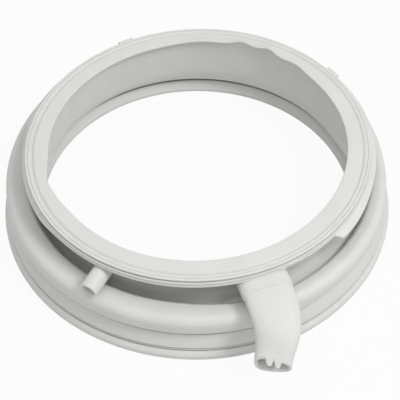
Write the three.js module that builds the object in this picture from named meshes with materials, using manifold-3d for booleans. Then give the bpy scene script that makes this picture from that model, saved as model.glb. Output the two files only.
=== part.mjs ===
// Door seal of a front-loading washing machine: one moulded rubber bellows in its own frame.
// Millimetres, +Z up. The seal lies on its wide base bead with the door lip on top, and the
// drain spout points to -Y. Angles run counter-clockwise from +X, seen from above.

import * as THREE from 'three';
import Module from 'manifold-3d';
import { mergeVertices } from 'three/addons/utils/BufferGeometryUtils.js';

const wasm = await Module();
wasm.setup();

// Door lip and rim, radii from the seal's axis
const lipRadius = 141;
const lipThickness = 2.2;
const faceWidth = 22;
const faceGrooveInset = 7;
const faceGrooveWidth = 2.4;
const faceGrooveDepth = 0.7;
const rimDepth = 7;
const rimGrooveDrop = 3;
const rimGrooveWidth = 2;
const rimGrooveDepth = 0.9;
const rimLedge = 0.4;
const rimRounding = 1.2;

// Skirt under the rim, which is left out over the front for the spout and the nozzle
const skirtReach = 5.5;
const skirtDrop = 3.6;
const skirtThickness = 2.6;
const skirtHeel = 2;
const skirtDraft = 0.3;
const heelRise = 0.8;
const skirtStart = degrees(315);
const skirtEnd = degrees(584);
const skirtStep = degrees(2.5);
const skirtFade = degrees(14);
const skirtNarrowSpan = degrees(44);
const skirtNarrowShare = 0.5;

// Bellows
const wall = 2.8;
const neckInset = 12.5;
const neckFlare = 5.5;
const kneeHeight = 14;
const kneeRounding = 30;
const foldWidth = 7.5;
const foldRounding = 4;
const foldDepth = 31;
const foldClearance = 14.8;
const bulgeWidth = 22.8;
const crestRounding = 8;
const shoulderRounding = 17;
const creaseDepth = 5.8;
const creaseRise = 6;

// Base: band, clamp groove, bead and the web that ends in the hole
const bandFlare = 8.1;
const bandHeight = 13;
const clampGrooveHeight = 4.4;
const clampGrooveDepth = 1.6;
const beadHeight = 10;
const beadProud = 3.4;
const beadRounding = 4.5;
const bulgeFoot = 9;
const webThickness = 3.2;
const holeStep = 13;
const slotWidth = 3;
const slotDepth = 6;
const slotInset = 7;

// Shape that the soft seal has taken: out of round, with a slack stretch of the fold, a wavy
// stretch of the lip and one pinch in it
const baseOvality = 1;
const dentDepth = 2.8;
const dentAngle = degrees(327);
const dentSpan = degrees(62);
const slackAngle = degrees(323);
const slackSpan = degrees(62);
const slackReach = 5.5;
const slackLift = 18;
const slackNarrowing = 3.5;
const slackSettling = 6;
const ovality = 2;
const ovalAngle = degrees(35);
const shift = 1.5;
const shiftAngle = degrees(315);
const waveHeight = 3.6;
const wavePitch = degrees(12);
const waveAngle = degrees(60);
const waveSpan = degrees(21);
const waveTuck = 0.4;
const pinchDepth = 4.4;
const pinchAngle = degrees(199.5);
const pinchRise = degrees(12);
const pinchFall = degrees(19);

// Drain spout: a flattened tube that leaves under the rim and passes over the bulge
const spoutAngle = degrees(291);
const spoutReach = 67;
const spoutFall = 27;
const spoutSwing = 18.8;
const spoutLead = 68;
const spoutEase = 24.5;
const spoutHeading = degrees(264.4);
const spoutDip = degrees(26);
const spoutGap = 0.5;
const spoutClearance = 7.5;
const spoutRootWidth = 50.5;
const spoutEndWidth = 32.3;
const spoutStraight = 0.05;
const spoutHeight = 17;
const spoutWall = 2.6;
const spoutSquareness = 2.5;
const collarInset = 3.5;
const collarLength = 5.5;
const collarProud = 1;
const scallopMargin = 2.2;
const scallopDepth = 7.5;
const tongueWidth = 5;
const slitWidth = 2.2;

// Inlet nozzle
const nozzleAngle = degrees(239);
const nozzleReach = 21.5;
const nozzleFall = 5;
const nozzleDiameter = 17;
const nozzleWall = 3;
const nozzleGap = 1.5;

// Locating tabs on the rim
const tabAngles = [35, 118, 209, 301].map(degrees);
const tabWidth = 13;
const tabProud = 2.4;
const tabHeight = 3.2;
const tabInset = 1.6;

// Fineness of the faceted solid
const stationStep = degrees(6);
const fineStep = degrees(3);
const spoutSteps = 6;
const ovalSteps = 20;
const nozzleSteps = 15;

// Sizes that follow from the ones above
const rimRadius = lipRadius + faceWidth;
const neckRadius = rimRadius - neckInset;
const foldInRadius = neckRadius + neckFlare;
const foldOutRadius = foldInRadius + foldWidth;
const bulgeRadius = foldOutRadius + bulgeWidth;
const creaseRadius = bulgeRadius - creaseDepth;
const bandRadius = creaseRadius + bandFlare;
const beadRadius = bandRadius + beadProud;
const holeRadius = lipRadius + holeStep;
const footRadius = creaseRadius - wall;
const slotRadius = beadRadius - slotInset;
const foldFloor = webThickness + foldClearance + wall;
const crestZ = foldFloor + foldDepth;
const rimUnder = crestZ + spoutClearance + spoutHeight + spoutGap;
const faceZ = rimUnder + rimDepth;
const grooveTop = beadHeight + clampGrooveHeight;
const creaseZ = grooveTop + bandHeight;
const scallopWidth = (spoutEndWidth - slitWidth) / 2 - tongueWidth - scallopMargin;
const scallopSpacing = slitWidth + 2 * tongueWidth + scallopWidth;

function degrees(angle) {
  return angle * Math.PI / 180;
}

// Distance from one angle to another, between minus and plus half a turn.
function turn(from, to) {
  return Math.atan2(Math.sin(to - from), Math.cos(to - from));
}

// How far the soft top ring stands out of round at an angle.
function ringOffset(angle) {
  return ovality * Math.cos(2 * (angle - ovalAngle)) + shift * Math.cos(angle - shiftAngle);
}

// Lift of the free lip where it waves.
function lipWave(angle) {
  const away = turn(waveAngle, angle);
  const window = 1 - THREE.MathUtils.smoothstep(Math.abs(away), 0.6 * waveSpan, waveSpan);
  return waveHeight * window * (0.5 + 0.5 * Math.cos(2 * Math.PI * away / wavePitch));
}

// Out-of-round shape of the base at an angle: oval, with one long dent.
function baseOffset(angle) {
  const away = Math.min(Math.abs(turn(dentAngle, angle)), dentSpan);
  const dent = dentDepth * (0.5 + 0.5 * Math.cos(Math.PI * away / dentSpan));
  return baseOvality * Math.cos(2 * angle) - dent;
}

// Depth of the sharp pinch in the free lip, which runs out slowly on one side.
function lipPinch(angle) {
  const away = turn(pinchAngle, angle);
  return pinchDepth * Math.max(0, 1 - Math.abs(away) / (away < 0 ? pinchRise : pinchFall));
}

// Share of the skirt that is present at an angle: a step at one end, and a narrower stretch
// before it fades out at the other.
function skirtShare(angle) {
  const middle = (skirtStart + skirtEnd) / 2;
  const half = (skirtEnd - skirtStart) / 2;
  const away = turn(middle, angle);
  const step = THREE.MathUtils.smoothstep(away, -half, skirtStep - half);
  const narrowed = half - skirtNarrowSpan;
  const narrowing = THREE.MathUtils.smoothstep(away, narrowed - skirtFade, narrowed);
  const fade = THREE.MathUtils.smoothstep(away, half - skirtFade, half);
  return step * (1 - narrowing * (1 - skirtNarrowShare)) * (1 - fade);
}

// Share of the slack that the fold has at an angle.
function slackShare(angle) {
  return 1 - THREE.MathUtils.smoothstep(Math.abs(turn(slackAngle, angle)), 0.4 * slackSpan, slackSpan);
}

// Corner of an outline in the half plane of radius and height, with its rounding.
function corner(radius, height, rounding = 0, steps = 0) {
  return { at: new THREE.Vector2(radius, height), rounding, steps };
}

// Points of an open or closed outline with its corners rounded.
function rounded(corners) {
  const count = corners.length;
  return corners.flatMap(({ at, rounding, steps }, i) => {
    if (steps === 0) {
      return [at];
    }
    const before = corners[(i + count - 1) % count].at.clone().sub(at);
    const after = corners[(i + 1) % count].at.clone().sub(at);
    const half = Math.abs(before.angleTo(after)) / 2;
    const room = 0.48 * Math.min(before.length(), after.length());
    const reach = Math.min(rounding / Math.tan(half), room);
    const start = before.setLength(reach).add(at);
    const end = after.setLength(reach).add(at);
    return new THREE.QuadraticBezierCurve(start, at, end).getPoints(steps);
  });
}

// Corners of the same run moved to the right of its heading by the wall's thickness.
function innerSide(corners) {
  return corners.slice(1, -1).map(({ at, rounding, steps }, i) => {
    const into = at.clone().sub(corners[i].at).normalize();
    const out = corners[i + 2].at.clone().sub(at).normalize();
    const normalIn = new THREE.Vector2(into.y, -into.x);
    const normalOut = new THREE.Vector2(out.y, -out.x);
    const miter = normalIn.clone().add(normalOut);
    miter.multiplyScalar(wall / (1 + normalIn.dot(normalOut)));
    const leftTurn = into.cross(out) > 0;
    const radius = Math.max(rounding + (leftTurn ? wall : -wall), 0.4 * wall);
    return { at: at.clone().add(miter), rounding: radius, steps: steps > 1 ? steps - 1 : steps };
  });
}

// Outer side of the bellows: from the rim down the neck, through the fold and over the bulge,
// then under the bulge into the crease and down the band.
function bellowsRun(angle) {
  const ring = ringOffset(angle);
  const base = baseOffset(angle);
  const slack = slackShare(angle);
  const floor = foldFloor + slack * slackLift;
  const knee = floor + kneeHeight - slack * slackSettling;
  const foldIn = foldInRadius + base + slack * (slackReach + slackNarrowing);
  const foldOut = foldOutRadius + base + slack * slackReach;
  return [
    corner(neckRadius + ring, rimUnder),
    corner(neckRadius + ring / 2, knee, kneeRounding, 2),
    corner(foldIn, floor, foldRounding, 1),
    corner(foldOut, floor, foldRounding, 1),
    corner(foldOut, crestZ, crestRounding, 3),
    corner(bulgeRadius + base, crestZ, shoulderRounding, 3),
    corner(bulgeRadius + base, creaseZ + creaseRise, creaseRise, 1),
    corner(creaseRadius + base, creaseZ),
    corner(bandRadius + base, grooveTop),
  ];
}

// Closed section of the seal at an angle, clockwise, from the free edge of the lip.
function section(angle) {
  const ring = ringOffset(angle);
  const lift = lipWave(angle);
  const lipEdge = lipRadius + ring + lipPinch(angle) + waveTuck * lift;
  const rim = rimRadius + ring;
  const share = skirtShare(angle);
  const skirtEdge = rim + rimLedge + share * skirtReach;
  const skirtLow = rimUnder - share * skirtDrop;
  const groove = rim - faceGrooveInset;
  const rimGrooveZ = faceZ - rimGrooveDrop;
  const oval = baseOffset(angle);
  const run = bellowsRun(angle);
  const top = [
    corner(lipEdge, faceZ + lift),
    corner(groove - faceGrooveWidth / 2, faceZ),
    corner(groove, faceZ - faceGrooveDepth),
    corner(groove + faceGrooveWidth / 2, faceZ),
    corner(rim, faceZ, rimRounding, 1),
    corner(rim, rimGrooveZ + rimGrooveWidth / 2),
    corner(rim - rimGrooveDepth, rimGrooveZ),
    corner(rim + rimLedge, rimGrooveZ - rimGrooveWidth / 2),
    corner(skirtEdge, skirtLow + skirtThickness, rimRounding, 1),
    corner(skirtEdge, skirtLow, rimRounding, 1),
    corner(rim - skirtHeel, skirtLow + skirtDraft),
    corner(rim - skirtHeel - heelRise, rimUnder + heelRise),
  ];
  const base = [
    corner(bandRadius + oval - clampGrooveDepth, grooveTop - clampGrooveDepth / 2),
    corner(bandRadius + oval - clampGrooveDepth, beadHeight + clampGrooveDepth / 2),
    corner(bandRadius + oval, beadHeight),
    corner(beadRadius + oval, beadHeight - beadProud, beadRounding, 1),
    corner(beadRadius + oval, 0, beadRounding, 2),
    corner(slotRadius + oval, 0),
    corner(slotRadius + oval, slotDepth),
    corner(slotRadius + oval - slotWidth, slotDepth),
    corner(slotRadius + oval - slotWidth, 0),
    corner(holeRadius, 0),
    corner(holeRadius, webThickness, webThickness / 2, 1),
    corner(footRadius + oval - bulgeFoot, webThickness),
    corner(footRadius + oval, webThickness + bulgeFoot),
  ];
  const lip = [
    corner(neckRadius + ring - wall, faceZ - 1.5 * wall, foldRounding, 1),
    corner(lipEdge, faceZ + lift - lipThickness),
  ];
  return rounded([...top, ...run, ...base, ...innerSide(run).reverse(), ...lip]);
}

// Angles of the sections: even all round, and closer where the lip waves, is pinched or steps.
function stations() {
  const fine = [];
  for (let away = -waveSpan; away <= waveSpan; away += fineStep) {
    fine.push(waveAngle + away);
  }
  for (const middle of [pinchAngle, skirtStart + skirtStep / 2]) {
    fine.push(middle - fineStep / 2, middle, middle + fineStep / 2);
  }
  const even = [];
  for (let k = 0; k < Math.round(2 * Math.PI / stationStep); k += 1) {
    const angle = k * stationStep;
    if (fine.every((other) => Math.abs(turn(other, angle)) > 0.45 * fineStep)) {
      even.push(angle);
    }
  }
  const full = 2 * Math.PI;
  return [...even, ...fine].map((angle) => (angle % full + full) % full).sort((a, b) => a - b);
}

// Closed solid through a row of loops with equal point counts; ends are capped, or joined in a ring.
function loft(loops, ringed) {
  const count = loops[0].length;
  const positions = loops.flat().flatMap((point) => [point.x, point.y, point.z]);
  const faces = [];
  const rows = ringed ? loops.length : loops.length - 1;
  for (let row = 0; row < rows; row += 1) {
    const next = (row + 1) % loops.length;
    for (let i = 0; i < count; i += 1) {
      const j = (i + 1) % count;
      faces.push(row * count + i, row * count + j, next * count + j);
      faces.push(row * count + i, next * count + j, next * count + i);
    }
  }
  if (!ringed) {
    const last = (loops.length - 1) * count;
    for (let i = 1; i < count - 1; i += 1) {
      faces.push(0, i + 1, i);
      faces.push(last, last + i, last + i + 1);
    }
  }
  return new wasm.Manifold(new wasm.Mesh({
    numProp: 3,
    vertProperties: new Float32Array(positions),
    triVerts: new Uint32Array(faces),
  }));
}

function solidOf(geometry) {
  const bare = geometry.index ? geometry.toNonIndexed() : geometry.clone();
  bare.deleteAttribute('normal');
  bare.deleteAttribute('uv');
  const merged = mergeVertices(bare, 1e-4);
  return new wasm.Manifold(new wasm.Mesh({
    numProp: 3,
    vertProperties: new Float32Array(merged.attributes.position.array),
    triVerts: new Uint32Array(merged.index.array),
  }));
}

// Point at an angle, radius and height.
function polar(angle, radius, height) {
  return new THREE.Vector3(radius * Math.cos(angle), radius * Math.sin(angle), height);
}

function ringBody() {
  const loops = stations().map((angle) => {
    return section(angle).map((point) => polar(angle, point.x, point.y));
  });
  return loft(loops, true);
}

// Frame of a tube at a place along its path: side is level, up is square to the path.
function frameAt(path, t) {
  const along = path.getTangent(t);
  const side = new THREE.Vector3(0, 0, 1).cross(along).normalize();
  const up = along.clone().cross(side);
  return { at: path.getPoint(t), along, side, up };
}

// Oval loop across a path; squareness 2 is an ellipse and more is flatter.
function ovalLoop(frame, width, height, squareness, steps) {
  const loop = [];
  for (let k = 0; k < steps; k += 1) {
    const angle = 2 * Math.PI * k / steps;
    const across = Math.sign(Math.cos(angle)) * Math.abs(Math.cos(angle)) ** (2 / squareness);
    const rise = Math.sign(Math.sin(angle)) * Math.abs(Math.sin(angle)) ** (2 / squareness);
    const point = frame.at.clone().addScaledVector(frame.side, across * width / 2);
    loop.push(point.addScaledVector(frame.up, rise * height / 2));
  }
  return loop;
}

// Tube along a path, with its ends run on by the given lengths.
function tube(path, sizeAt, squareness, steps, places, before = 0, after = 0) {
  const loops = places.map((t) => {
    const [width, height] = sizeAt(t);
    return ovalLoop(frameAt(path, t), width, height, squareness, steps);
  });
  const moved = (loop, t, length) => {
    const step = frameAt(path, t).along.multiplyScalar(length);
    return loop.map((point) => point.clone().add(step));
  };
  if (before > 0) {
    loops.unshift(moved(loops[0], places[0], -before));
  }
  if (after > 0) {
    loops.push(moved(loops[loops.length - 1], places[places.length - 1], after));
  }
  return loft(loops, false);
}

// Middle line of the spout, from the middle of the neck's wall to its open end: it leaves level
// and straight out, then dips and turns to its own heading.
function spoutPath() {
  const rootZ = rimUnder - spoutGap - spoutHeight / 2;
  const rootRadius = neckRadius + ringOffset(spoutAngle) - wall / 2;
  const side = polar(spoutAngle - Math.PI / 2, spoutSwing, 0);
  const end = polar(spoutAngle, rimRadius + spoutReach, rootZ - spoutFall).add(side);
  const back = polar(spoutHeading + Math.PI, spoutEase * Math.cos(spoutDip), spoutEase * Math.sin(spoutDip));
  return new THREE.CubicBezierCurve3(
    polar(spoutAngle, rootRadius, rootZ),
    polar(spoutAngle, rootRadius + spoutLead, rootZ),
    back.add(end),
    end,
  );
}

function spoutSize(t) {
  const narrowing = THREE.MathUtils.smoothstep(t, 0, 1 - spoutStraight);
  return [spoutRootWidth + (spoutEndWidth - spoutRootWidth) * narrowing, spoutHeight];
}

// Cutter for the scalloped upper edge of the spout's end: two scallops and a slit between.
function scallops(path) {
  const frame = frameAt(path, 1);
  const inwards = frame.along.clone().negate();
  const basis = new THREE.Matrix4().makeBasis(frame.side, inwards, frame.up);
  basis.setPosition(frame.at);
  const notch = (middle, width) => {
    const shape = new THREE.Shape();
    shape.moveTo(middle - width / 2, -wall);
    shape.lineTo(middle + width / 2, -wall);
    shape.absellipse(middle, 0, width / 2, scallopDepth, 0, Math.PI, false);
    const settings = { depth: spoutHeight, bevelEnabled: false, curveSegments: 4 };
    return solidOf(new THREE.ExtrudeGeometry(shape, settings).applyMatrix4(basis));
  };
  const left = notch(-scallopSpacing / 2, scallopWidth);
  const right = notch(scallopSpacing / 2, scallopWidth);
  return left.add(right).add(notch(0, slitWidth));
}

// Block that follows the rim's side between two angles.
function rimTab(angle) {
  const inner = rimRadius + ringOffset(angle) - rimRounding;
  const outer = rimRadius + ringOffset(angle) + rimLedge + tabProud;
  const top = faceZ - tabInset;
  const half = tabWidth / 2 / rimRadius;
  const loops = [-half, 0, half].map((away) => [
    polar(angle + away, inner, top),
    polar(angle + away, outer, top),
    polar(angle + away, outer, top - tabHeight),
    polar(angle + away, inner, top - tabHeight),
  ]);
  return loft(loops, false);
}

function nozzlePath() {
  const root = neckRadius + ringOffset(nozzleAngle) - wall / 2;
  const rootZ = rimUnder - nozzleGap - nozzleDiameter / 2;
  return new THREE.LineCurve3(
    polar(nozzleAngle, root, rootZ),
    polar(nozzleAngle, rimRadius + nozzleReach, rootZ - nozzleFall),
  );
}

function doorSeal() {
  const spout = spoutPath();
  const nozzle = nozzlePath();
  const spoutPlaces = Array.from({ length: spoutSteps + 1 }, (_, k) => k / spoutSteps);
  const collarAt = neckInset - collarInset;
  const collarPlaces = [collarAt, collarAt + collarLength].map((at) => at / (spoutReach + neckInset));
  const boreSize = (t) => spoutSize(t).map((size) => size - 2 * spoutWall);
  const collarSize = (t) => spoutSize(t).map((size) => size + 2 * collarProud);
  const oval = (size, places, before, after) => {
    return tube(spout, size, spoutSquareness, ovalSteps, places, before, after);
  };
  const round = (diameter, before, after) => {
    return tube(nozzle, () => [diameter, diameter], 2, nozzleSteps, [0, 1], before, after);
  };
  let seal = ringBody();
  seal = seal.add(oval(spoutSize, spoutPlaces)).add(oval(collarSize, collarPlaces));
  seal = seal.add(round(nozzleDiameter));
  for (const angle of tabAngles) {
    seal = seal.add(rimTab(angle));
  }
  seal = seal.subtract(oval(boreSize, spoutPlaces, 2 * wall, wall));
  seal = seal.subtract(round(nozzleDiameter - 2 * nozzleWall, 2 * wall, wall));
  return seal.subtract(scallops(spout));
}

// Mesh of a manifold solid.
function geometryOf(solid) {
  const mesh = solid.getMesh();
  const geometry = new THREE.BufferGeometry();
  geometry.setAttribute('position', new THREE.BufferAttribute(mesh.vertProperties, 3));
  geometry.setIndex(new THREE.BufferAttribute(mesh.triVerts, 1));
  geometry.computeVertexNormals();
  return geometry;
}

const rubber = new THREE.MeshStandardMaterial({ color: '#d9d9d5', roughness: 0.55, metalness: 0 });

const seal = new THREE.Mesh(geometryOf(doorSeal()), rubber);
seal.name = 'door_seal';

// The origin is below the middle of the seal's box, on the plane that it lies on.
const box = new THREE.Box3().setFromObject(seal);
const middle = box.getCenter(new THREE.Vector3());
seal.position.set(-middle.x, -middle.y, -box.min.z);

const part = new THREE.Group();
part.add(seal);

export default part;
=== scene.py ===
"""Door seal of a front-loading washing machine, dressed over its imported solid.

The seal is one moulded rubber bellows. It lies on its base bead with the door lip on top, and
the drain spout points towards the camera. Sizes are in millimetres and angles run
counter-clockwise from +X, seen from above; meshes are turned into metres when they are done.
"""

import logging
import math
from dataclasses import dataclass, field, fields
from enum import Enum

import bmesh
import bpy
from mathutils import Matrix, Vector


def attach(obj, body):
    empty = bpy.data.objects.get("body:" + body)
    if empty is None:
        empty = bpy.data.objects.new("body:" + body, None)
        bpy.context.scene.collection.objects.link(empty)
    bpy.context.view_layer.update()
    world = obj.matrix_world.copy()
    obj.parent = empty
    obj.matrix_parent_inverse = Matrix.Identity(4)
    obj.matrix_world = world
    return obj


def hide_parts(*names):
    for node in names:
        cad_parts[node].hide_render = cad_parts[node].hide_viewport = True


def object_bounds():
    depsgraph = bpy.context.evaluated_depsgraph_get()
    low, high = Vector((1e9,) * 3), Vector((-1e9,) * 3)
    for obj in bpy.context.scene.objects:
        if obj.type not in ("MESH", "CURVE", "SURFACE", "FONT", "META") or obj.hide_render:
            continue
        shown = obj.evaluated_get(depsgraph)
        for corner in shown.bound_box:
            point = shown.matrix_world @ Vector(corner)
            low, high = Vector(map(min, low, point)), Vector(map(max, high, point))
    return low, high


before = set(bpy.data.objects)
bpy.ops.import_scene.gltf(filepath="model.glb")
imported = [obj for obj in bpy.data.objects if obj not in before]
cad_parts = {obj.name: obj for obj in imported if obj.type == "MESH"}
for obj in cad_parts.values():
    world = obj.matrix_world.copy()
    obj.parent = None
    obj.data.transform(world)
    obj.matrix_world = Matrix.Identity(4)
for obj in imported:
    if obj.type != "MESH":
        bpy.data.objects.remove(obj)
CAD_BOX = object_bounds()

LOG = logging.getLogger("door_seal")
MM = 0.001
MERGE_DISTANCE = 1e-7
SHARP_ANGLE = 38.0
WHITE = (1, 1, 1, 1)
PHOTO_SIDE = 400


class Merge(Enum):
    """Ways of merging one closed piece with another."""

    JOIN = "UNION"
    CUT = "DIFFERENCE"


class Rounded(Enum):
    """What a rounding takes: the corners of an outline or the edges of a body."""

    CORNERS = "VERTICES"
    EDGES = "EDGES"


class Lamp(Enum):
    """Lamps of the studio."""

    KEY = "key"
    OVERHEAD = "overhead"
    FRONT = "front"


def smoothstep(value: float, low: float, high: float) -> float:
    """Eases from 0 at low to 1 at high.

    Args:
        value: Number to ease.
        low: Start of the step.
        high: End of the step.

    Returns:
        The eased share.
    """
    share = min(1.0, max(0.0, (value - low) / (high - low)))
    return share * share * (3 - 2 * share)


def turn(start: float, end: float) -> float:
    """Signed angle from start to end, between minus and plus half a turn."""
    return math.atan2(math.sin(end - start), math.cos(end - start))


def polar(angle: float, radius: float, height: float) -> Vector:
    """Point at an angle, radius and height."""
    return Vector((radius * math.cos(angle), radius * math.sin(angle), height))


@dataclass(frozen=True)
class Pull:
    """How far a corner of the section follows each give of the soft seal, from 0 to 1."""

    ring: float = 0.0
    base: float = 0.0
    bulge: float = 0.0
    slack_out: float = 0.0
    slack_narrow: float = 0.0
    slack_up: float = 0.0
    slack_settle: float = 0.0
    lip: float = 0.0
    skirt_in: float = 0.0
    skirt_up: float = 0.0


@dataclass(frozen=True)
class Corner:
    """Corner of the section, with its rounding and its share of grime and painted shade."""

    radius: float
    height: float
    rounding: float = 0.0
    steps: int = 0
    pull: Pull = Pull()
    grime_and_shade: float = 0.0


@dataclass(frozen=True)
class SealSizes:
    """Sizes that the parts of the seal share.

    Each dent, sag and flare has its depth, its angle and half its span.
    """

    lip_radius: float = 141.0
    lip_thickness: float = 2.2
    face_width: float = 22.0
    rim_depth: float = 7.0
    rim_ledge: float = 1.2
    skirt_reach: float = 4.7
    skirt_drop: float = 3.6
    skirt_thickness: float = 2.6
    skirt_heel: float = 2.0
    skirt_start: float = math.radians(318.5)
    skirt_end: float = math.radians(584)
    skirt_step: float = math.radians(1.6)
    skirt_fade: float = math.radians(14)
    skirt_narrow_span: float = math.radians(44)
    skirt_narrow_share: float = 0.42
    skirt_flares: tuple = ((2.6, math.radians(322), math.radians(26)),)
    wall: float = 2.8
    neck_inset: float = 12.5
    neck_flare: float = 5.5
    knee_height: float = 14.0
    fold_width: float = 7.5
    fold_depth: float = 31.0
    fold_clearance: float = 14.8
    bulge_width: float = 22.8
    crease_depth: float = 5.8
    crease_rise: float = 6.0
    band_flare: float = 8.1
    band_height: float = 13.0
    clamp_groove_height: float = 4.4
    clamp_groove_depth: float = 1.6
    bead_height: float = 10.0
    bead_proud: float = 3.4
    bulge_foot: float = 9.0
    web_thickness: float = 3.2
    hole_step: float = 13.0
    slot_width: float = 3.0
    slot_depth: float = 6.0
    slot_inset: float = 7.0
    spout_height: float = 17.0
    spout_clearance: float = 7.5
    spout_gap: float = 0.5
    base_ovality: float = 1.0
    dents: tuple = ((2.8, math.radians(327), math.radians(62)),)
    sags: tuple = (
        (2.2, math.radians(172), math.radians(58)),
        (1.2, math.radians(12), math.radians(40)),
    )
    ovality: float = 2.0
    oval_angle: float = math.radians(35)
    shift: float = 1.5
    shift_angle: float = math.radians(315)
    slack_angle: float = math.radians(323)
    slack_span: float = math.radians(62)
    slack_core: float = 0.4
    slack_reach: float = 5.5
    slack_lift: float = 18.0
    slack_narrowing: float = 3.5
    slack_settling: float = 6.0

    @property
    def rim_radius(self) -> float:
        """Outer radius of the rim."""
        return self.lip_radius + self.face_width

    @property
    def neck_radius(self) -> float:
        """Outer radius of the neck under the rim."""
        return self.rim_radius - self.neck_inset

    @property
    def fold_in_radius(self) -> float:
        """Radius of the fold's floor on the neck's side."""
        return self.neck_radius + self.neck_flare

    @property
    def fold_out_radius(self) -> float:
        """Radius of the fold's floor on the bulge's side."""
        return self.fold_in_radius + self.fold_width

    @property
    def bulge_radius(self) -> float:
        """Outer radius of the bulge."""
        return self.fold_out_radius + self.bulge_width

    @property
    def crease_radius(self) -> float:
        """Radius of the crease under the bulge."""
        return self.bulge_radius - self.crease_depth

    @property
    def band_radius(self) -> float:
        """Radius of the band's lower edge."""
        return self.crease_radius + self.band_flare

    @property
    def bead_radius(self) -> float:
        """Outer radius of the base bead."""
        return self.band_radius + self.bead_proud

    @property
    def hole_radius(self) -> float:
        """Radius of the hole in the base web."""
        return self.lip_radius + self.hole_step

    @property
    def fold_floor(self) -> float:
        """Height of the fold's floor."""
        return self.web_thickness + self.fold_clearance + self.wall

    @property
    def crest(self) -> float:
        """Height of the bulge's crest."""
        return self.fold_floor + self.fold_depth

    @property
    def rim_under(self) -> float:
        """Height of the rim's underside."""
        return self.crest + self.spout_clearance + self.spout_height + self.spout_gap

    @property
    def face(self) -> float:
        """Height of the door face."""
        return self.rim_under + self.rim_depth

    @property
    def groove_top(self) -> float:
        """Height of the clamp groove's upper edge."""
        return self.bead_height + self.clamp_groove_height

    @property
    def crease(self) -> float:
        """Height of the crease under the bulge."""
        return self.groove_top + self.band_height

    def ring_offset(self, angle: float) -> float:
        """How far the soft top ring stands out of round at an angle."""
        oval = self.ovality * math.cos(2 * (angle - self.oval_angle))
        return oval + self.shift * math.cos(angle - self.shift_angle)

    def bowed_in(self, angle: float, bows: tuple) -> float:
        """Adds up the depth of long shallow bows at an angle.

        Args:
            angle: Place round the seal.
            bows: Depth, angle and half span of each bow.

        Returns:
            The depth.
        """
        depth = 0.0
        for deepest, middle, span in bows:
            away = min(abs(turn(middle, angle)), span)
            depth += deepest * (0.5 + 0.5 * math.cos(math.pi * away / span))
        return depth

    def box_offset(self, angle: float) -> float:
        """How far the solid's base stands out of round at an angle."""
        return self.base_ovality * math.cos(2 * angle) - self.bowed_in(angle, self.dents)

    def base_offset(self, angle: float) -> float:
        """How far the base stands out of round at an angle."""
        return self.box_offset(angle) - self.bowed_in(angle, self.sags)

    def axis_place(self) -> Vector:
        """Finds the ring's own axis in the part frame.

        Returns:
            The place in millimetres.
        """
        left = CAD_BOX[0].x / MM + self.bead_radius + self.box_offset(math.pi)
        back = CAD_BOX[1].y / MM - self.bead_radius - self.box_offset(math.pi / 2)
        return Vector((left, back, 0))

    def slack_share(self, angle: float) -> float:
        """Share of the slack that the fold has at an angle."""
        away = abs(turn(self.slack_angle, angle))
        return 1 - smoothstep(away, self.slack_core * self.slack_span, self.slack_span)

    def skirt_flare(self, angle: float) -> float:
        """How much further the skirt reaches at an angle than its plain width."""
        return self.bowed_in(angle, self.skirt_flares)

    def skirt_share(self, angle: float) -> float:
        """Works out how much of the skirt stands at an angle.

        Args:
            angle: Place round the seal.

        Returns:
            The share, with a step at one end and a narrow, fading stretch at the other.
        """
        half = (self.skirt_end - self.skirt_start) / 2
        away = turn(self.skirt_start + half, angle)
        step = smoothstep(away, -half, self.skirt_step - half)
        narrowed = half - self.skirt_narrow_span
        narrowing = smoothstep(away, narrowed - self.skirt_fade, narrowed)
        fade = smoothstep(away, half - self.skirt_fade, half)
        return step * (1 - narrowing * (1 - self.skirt_narrow_share)) * (1 - fade)


def to_part_frame(bm: bmesh.types.BMesh, sizes: SealSizes) -> None:
    """Moves a mesh from the ring's own axis in millimetres to the part frame in metres.

    Args:
        bm: Mesh to move.
        sizes: Sizes of the seal, which place the ring's axis in the solid's box.
    """
    bmesh.ops.translate(bm, verts=bm.verts, vec=sizes.axis_place())
    bmesh.ops.scale(bm, verts=bm.verts, vec=(MM, MM, MM))


def spin_round(bm: bmesh.types.BMesh, steps: int) -> None:
    """Spins an outline in the plane of X and Z all the way round Z.

    Args:
        bm: Mesh that holds the outline.
        steps: Number of steps in the round.
    """
    bmesh.ops.spin(
        bm,
        geom=bm.verts[:] + bm.edges[:],
        cent=(0, 0, 0),
        axis=(0, 0, 1),
        dvec=(0, 0, 0),
        angle=2 * math.pi,
        steps=steps,
        use_merge=True,
        use_duplicate=False,
    )


def round_off(
    bm: bmesh.types.BMesh, parts: list, kind: Rounded, reach: float, steps: int = 3
) -> None:
    """Rounds corners or edges of a mesh.

    Args:
        bm: Mesh to round.
        parts: Its corners or edges.
        kind: Which of the two the parts are.
        reach: How far from each part its rounding starts.
        steps: Number of steps in a rounding.
    """
    bmesh.ops.bevel(
        bm,
        geom=parts,
        offset=reach,
        offset_type="OFFSET",
        segments=steps,
        profile=0.5,
        affect=kind.value,
        material=-1,
    )


def piece_of(bm: bmesh.types.BMesh, name: str) -> bpy.types.Object:
    """Turns a finished mesh into an object, smooth but for its sharp edges.

    Args:
        bm: Mesh, which is used up.
        name: Name of the piece.

    Returns:
        The new object.
    """
    bmesh.ops.remove_doubles(bm, verts=bm.verts, dist=MERGE_DISTANCE)
    bmesh.ops.recalc_face_normals(bm, faces=bm.faces)
    mesh = bpy.data.meshes.new(name)
    bm.to_mesh(mesh)
    bm.free()
    mesh.shade_smooth()
    mesh.set_sharp_from_angle(angle=math.radians(SHARP_ANGLE))
    piece = bpy.data.objects.new(name, mesh)
    bpy.context.scene.collection.objects.link(piece)
    return piece


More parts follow.
